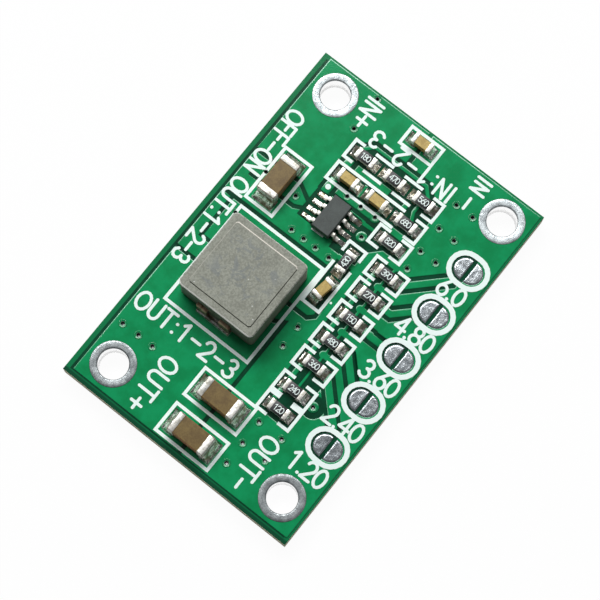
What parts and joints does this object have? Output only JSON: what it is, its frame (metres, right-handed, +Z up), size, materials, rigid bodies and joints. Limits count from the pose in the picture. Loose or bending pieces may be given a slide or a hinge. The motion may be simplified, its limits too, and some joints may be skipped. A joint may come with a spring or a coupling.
{
  "type": "dc-dc converter module",
  "caption": "Small rectangular step-down converter board with plated wire holes at its corners, a moulded inductor, chip parts and a row of solder jumpers.",
  "frame": {"origin": "centre of the board's outline at its underside", "axes": "+X along the long side towards the input holes, +Y towards the long edge without the solder jumpers, +Z up out of the face that carries the parts"},
  "size_m": [0.03, 0.02, 0.0046],
  "materials": {
    "laminate": "glass-fibre laminate and etched copper under glossy green mask, pale sawn edge",
    "tin": "levelled tin over copper",
    "ink": "printed white ink",
    "solder": "reflowed solder, bright with a grey skin",
    "copper_strip": "bare copper strip",
    "powder_core": "pressed and coated grey powder",
    "mould_compound": "matt black moulding compound",
    "resistor_body": "white ceramic with a black glass coat",
    "capacitor_brown": "fired brown ceramic",
    "capacitor_tan": "fired tan ceramic"
  },
  "bodies": {
    "root": {"board": "laminate", "capacitor_1_body": "capacitor_tan", "capacitor_1_ends": "tin", "capacitor_2_body": "capacitor_tan", "capacitor_2_ends": "tin", "capacitor_3_body": "capacitor_tan", "capacitor_3_ends": "tin", "capacitor_4_body": "capacitor_tan", "capacitor_4_ends": "tin", "capacitor_5_body": "capacitor_brown", "capacitor_5_ends": "tin", "capacitor_6_body": "capacitor_brown", "capacitor_6_ends": "tin", "capacitor_7_body": "capacitor_brown", "capacitor_7_ends": "tin", "inductor_body": "powder_core", "inductor_clips": "copper_strip", "jumper_1": "solder", "jumper_2": "solder", "jumper_3": "solder", "jumper_4": "solder", "jumper_5": "solder", "pad_in_minus": "tin", "pad_in_plus": "tin", "pad_out_minus": "tin", "pad_out_plus": "tin", "printed_outlines": "ink", "regulator_body": "mould_compound", "regulator_leads": "tin", "resistor_10_body": "resistor_body", "resistor_10_ends": "tin", "resistor_11_body": "resistor_body", "resistor_11_ends": "tin", "resistor_12_body": "resistor_body", "resistor_12_ends": "tin", "resistor_13_body": "resistor_body", "resistor_13_ends": "tin", "resistor_1_body": "resistor_body", "resistor_1_ends": "tin", "resistor_2_body": "resistor_body", "resistor_2_ends": "tin", "resistor_3_body": "resistor_body", "resistor_3_ends": "tin", "resistor_4_body": "resistor_body", "resistor_4_ends": "tin", "resistor_5_body": "resistor_body", "resistor_5_ends": "tin", "resistor_6_body": "resistor_body", "resistor_6_ends": "tin", "resistor_7_body": "resistor_body", "resistor_7_ends": "tin", "resistor_8_body": "resistor_body", "resistor_8_ends": "tin", "resistor_9_body": "resistor_body", "resistor_9_ends": "tin", "solder_joints": "solder"}
  },
  "joints": []
}
